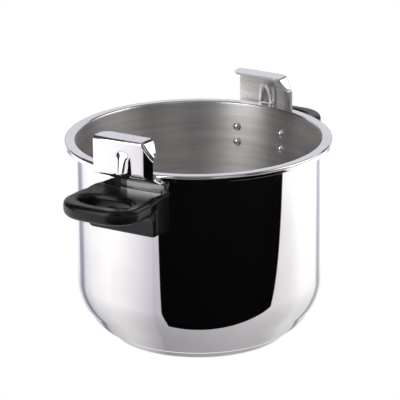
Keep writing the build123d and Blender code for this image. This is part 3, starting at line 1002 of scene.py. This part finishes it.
# upright cards round the set: from and to angle, shade, strength, lowest and highest edge
UPRIGHT_CARDS = (
    (140, 225, "#DEDCE4", 1.0, 0.25, 0.9),
    (80, 126, "#FFFFFF", 1.7, 0.42, 2.0),
    (12, 40, "#FFFFFF", 0.5, 0.42, 2.4),
    (-66, -30, "#FFFFFF", 2.3, 0.2, 2.4),
)
UPRIGHT_DISTANCE = 1.1
SOFTBOX_HALF = 0.45
SOFTBOX_HEIGHT = 1.0
SOFTBOX_STRENGTH = 0.3
FLOOR_SIZE = 6
CARD_LIFT = 0.0005             # the cards lie this far over the floor


def glow(name, code, strength=1.0):
    """A plain light-emitting card material."""
    material = bpy.data.materials.new(name)
    material.use_nodes = True
    tree = material.node_tree
    tree.nodes.clear()
    light = node(tree, "ShaderNodeEmission", {"Color": linear(code), "Strength": strength})
    node(tree, "ShaderNodeOutputMaterial", links={"Surface": light.outputs[0]})
    return material


def toward(angle):
    """Level direction at an angle from the camera's, positive towards its right."""
    return Matrix.Rotation(angle, 3, "Z") @ TO_CAMERA


def card(name, corners, faces, material, across=None):
    """A studio card that shows only in reflections; across runs 0 to 1 for a graded card."""
    mesh = bpy.data.meshes.new(name)
    mesh.from_pydata(corners, [], faces)
    mesh.materials.append(material)
    if across:
        layer = mesh.uv_layers.new(name="across")
        for corner in mesh.loops:
            layer.data[corner.index].uv = (across[corner.vertex_index], 0)
    piece = bpy.data.objects.new(name, mesh)
    bpy.context.scene.collection.objects.link(piece)
    piece.visible_camera = False
    piece.visible_diffuse = False
    piece.visible_shadow = False
    return piece


def graded_floor_card():
    """The floor as the wall mirrors it: each strip leaves the wall at its mirror angle."""
    corners, faces, across = [], [], []
    steps = 90
    for step in range(steps + 1):
        share = step / steps
        angle = radians(-90 + 180 * share)
        near = toward(angle) * (CAP_RADIUS + 1) * MM
        wall = toward(angle) * OUTER_RADIUS * MM
        far = wall + toward(2 * angle) * FLOOR_REACH
        lift = Vector((0, 0, CARD_LIFT))
        corners += [near + lift, wall + lift, far + lift]
        across += [share] * 3
        if step:
            a = 3 * step
            faces += [(a - 3, a - 2, a + 1, a), (a - 2, a - 1, a + 2, a + 1)]
    card("graded_floor_card", corners, faces, graded_glow(), across)


def graded_glow():
    """White falling to grey beside the black card, with a thin grey band at each side, and dimmer close
    to the vessel's base: a painted shadow of the vessel on the floor.
    """
    material = bpy.data.materials.new("graded_card")
    material.use_nodes = True
    tree = material.node_tree
    tree.nodes.clear()
    across = node(tree, "ShaderNodeUVMap", {"uv_map": "across"})
    split = node(tree, "ShaderNodeSeparateXYZ", links={0: across.outputs[0]})
    colour = ramp(tree, split.outputs["X"], [
        ((angle + 90) / 180, code) for angle, code in FLOOR_GREYS
    ])
    place = node(tree, "ShaderNodeTexCoord").outputs["Object"]
    reach = node(tree, "ShaderNodeVectorMath", {"operation": "LENGTH"}, {0: place})
    # painted shadow: the card dims close to the vessel's base, where the vessel's shade falls on the
    # floor; the next ramp brightens it further out
    painted_shadow_near_base = node(tree, "ShaderNodeMapRange", {
        "From Min": 0.08, "From Max": 0.24, "To Min": 0.66, "To Max": 1.12,
    }, {"Value": reach.outputs["Value"]})
    distance = node(tree, "ShaderNodeMapRange", {
        "From Min": 0.24, "From Max": 0.65, "To Min": 1.0, "To Max": 1.3,
    }, {"Value": reach.outputs["Value"]})
    strength = node(tree, "ShaderNodeMath", {"operation": "MULTIPLY"},
                    {0: painted_shadow_near_base.outputs[0], 1: distance.outputs[0]})
    light = node(tree, "ShaderNodeEmission", links={
        "Color": colour, "Strength": strength.outputs[0],
    })
    node(tree, "ShaderNodeOutputMaterial", links={"Surface": light.outputs[0]})
    return material


def black_floor_card():
    """The black card in front of the vessel."""
    side = Matrix.Rotation(pi / 2, 3, "Z") @ TO_CAMERA
    lift = Vector((0, 0, CARD_LIFT + 0.0003))
    corners = [TO_CAMERA * ahead + side * right + lift for ahead, right in BLACK_CARD]
    card("black_floor_card", corners, [(0, 1, 2, 3)], glow("black_card", "#020203"))


def upright_cards():
    """Lit panels and a pale backdrop round the set."""
    for number, (start, end, code, strength, low, high) in enumerate(UPRIGHT_CARDS):
        corners, faces = [], []
        steps = 6
        for step in range(steps + 1):
            direction = toward(radians(start + (end - start) * step / steps)) * UPRIGHT_DISTANCE
            corners += [direction + Vector((0, 0, height)) for height in (low, high)]
            if step:
                a = 2 * step
                faces.append((a - 2, a - 1, a + 1, a))
        name = f"upright_card_{number}"
        card(name, corners, faces, glow(name, code, strength))


def overhead_softbox():
    """A large soft light above the set."""
    half = SOFTBOX_HALF
    level = [(-half, -half), (half, -half), (half, half), (-half, half)]
    corners = [(x, y, SOFTBOX_HEIGHT) for x, y in level]
    card("overhead_softbox", corners, [(0, 1, 2, 3)], glow("softbox", "#FFFFFF", SOFTBOX_STRENGTH))


def add_stage():
    """White floor, dim surround, a softbox and the cards that polished metal needs."""
    scene = bpy.context.scene
    scene.view_settings.view_transform = "Standard"
    world = bpy.data.worlds.new("studio")
    scene.world = world
    world.use_nodes = True
    world.node_tree.nodes["Background"].inputs["Color"].default_value = linear("#48484C")
    world.node_tree.nodes["Background"].inputs["Strength"].default_value = 1.0
    deselect_all()
    bpy.ops.mesh.primitive_plane_add(size=FLOOR_SIZE, location=(0, 0, -CARD_LIFT))
    floor = bpy.context.object
    floor.name = "floor"
    floor.data.materials.append(glow("pale_floor", "#FFFFFF"))
    graded_floor_card()
    black_floor_card()
    upright_cards()
    overhead_softbox()


# ---------------------------------------------------------------- build
add_camera()
make_vessel()
make_base_cup()
make_rivets()
make_brackets()
make_handles()
make_screws()
dress_cad_nodes()
add_stage()

deselect_all()
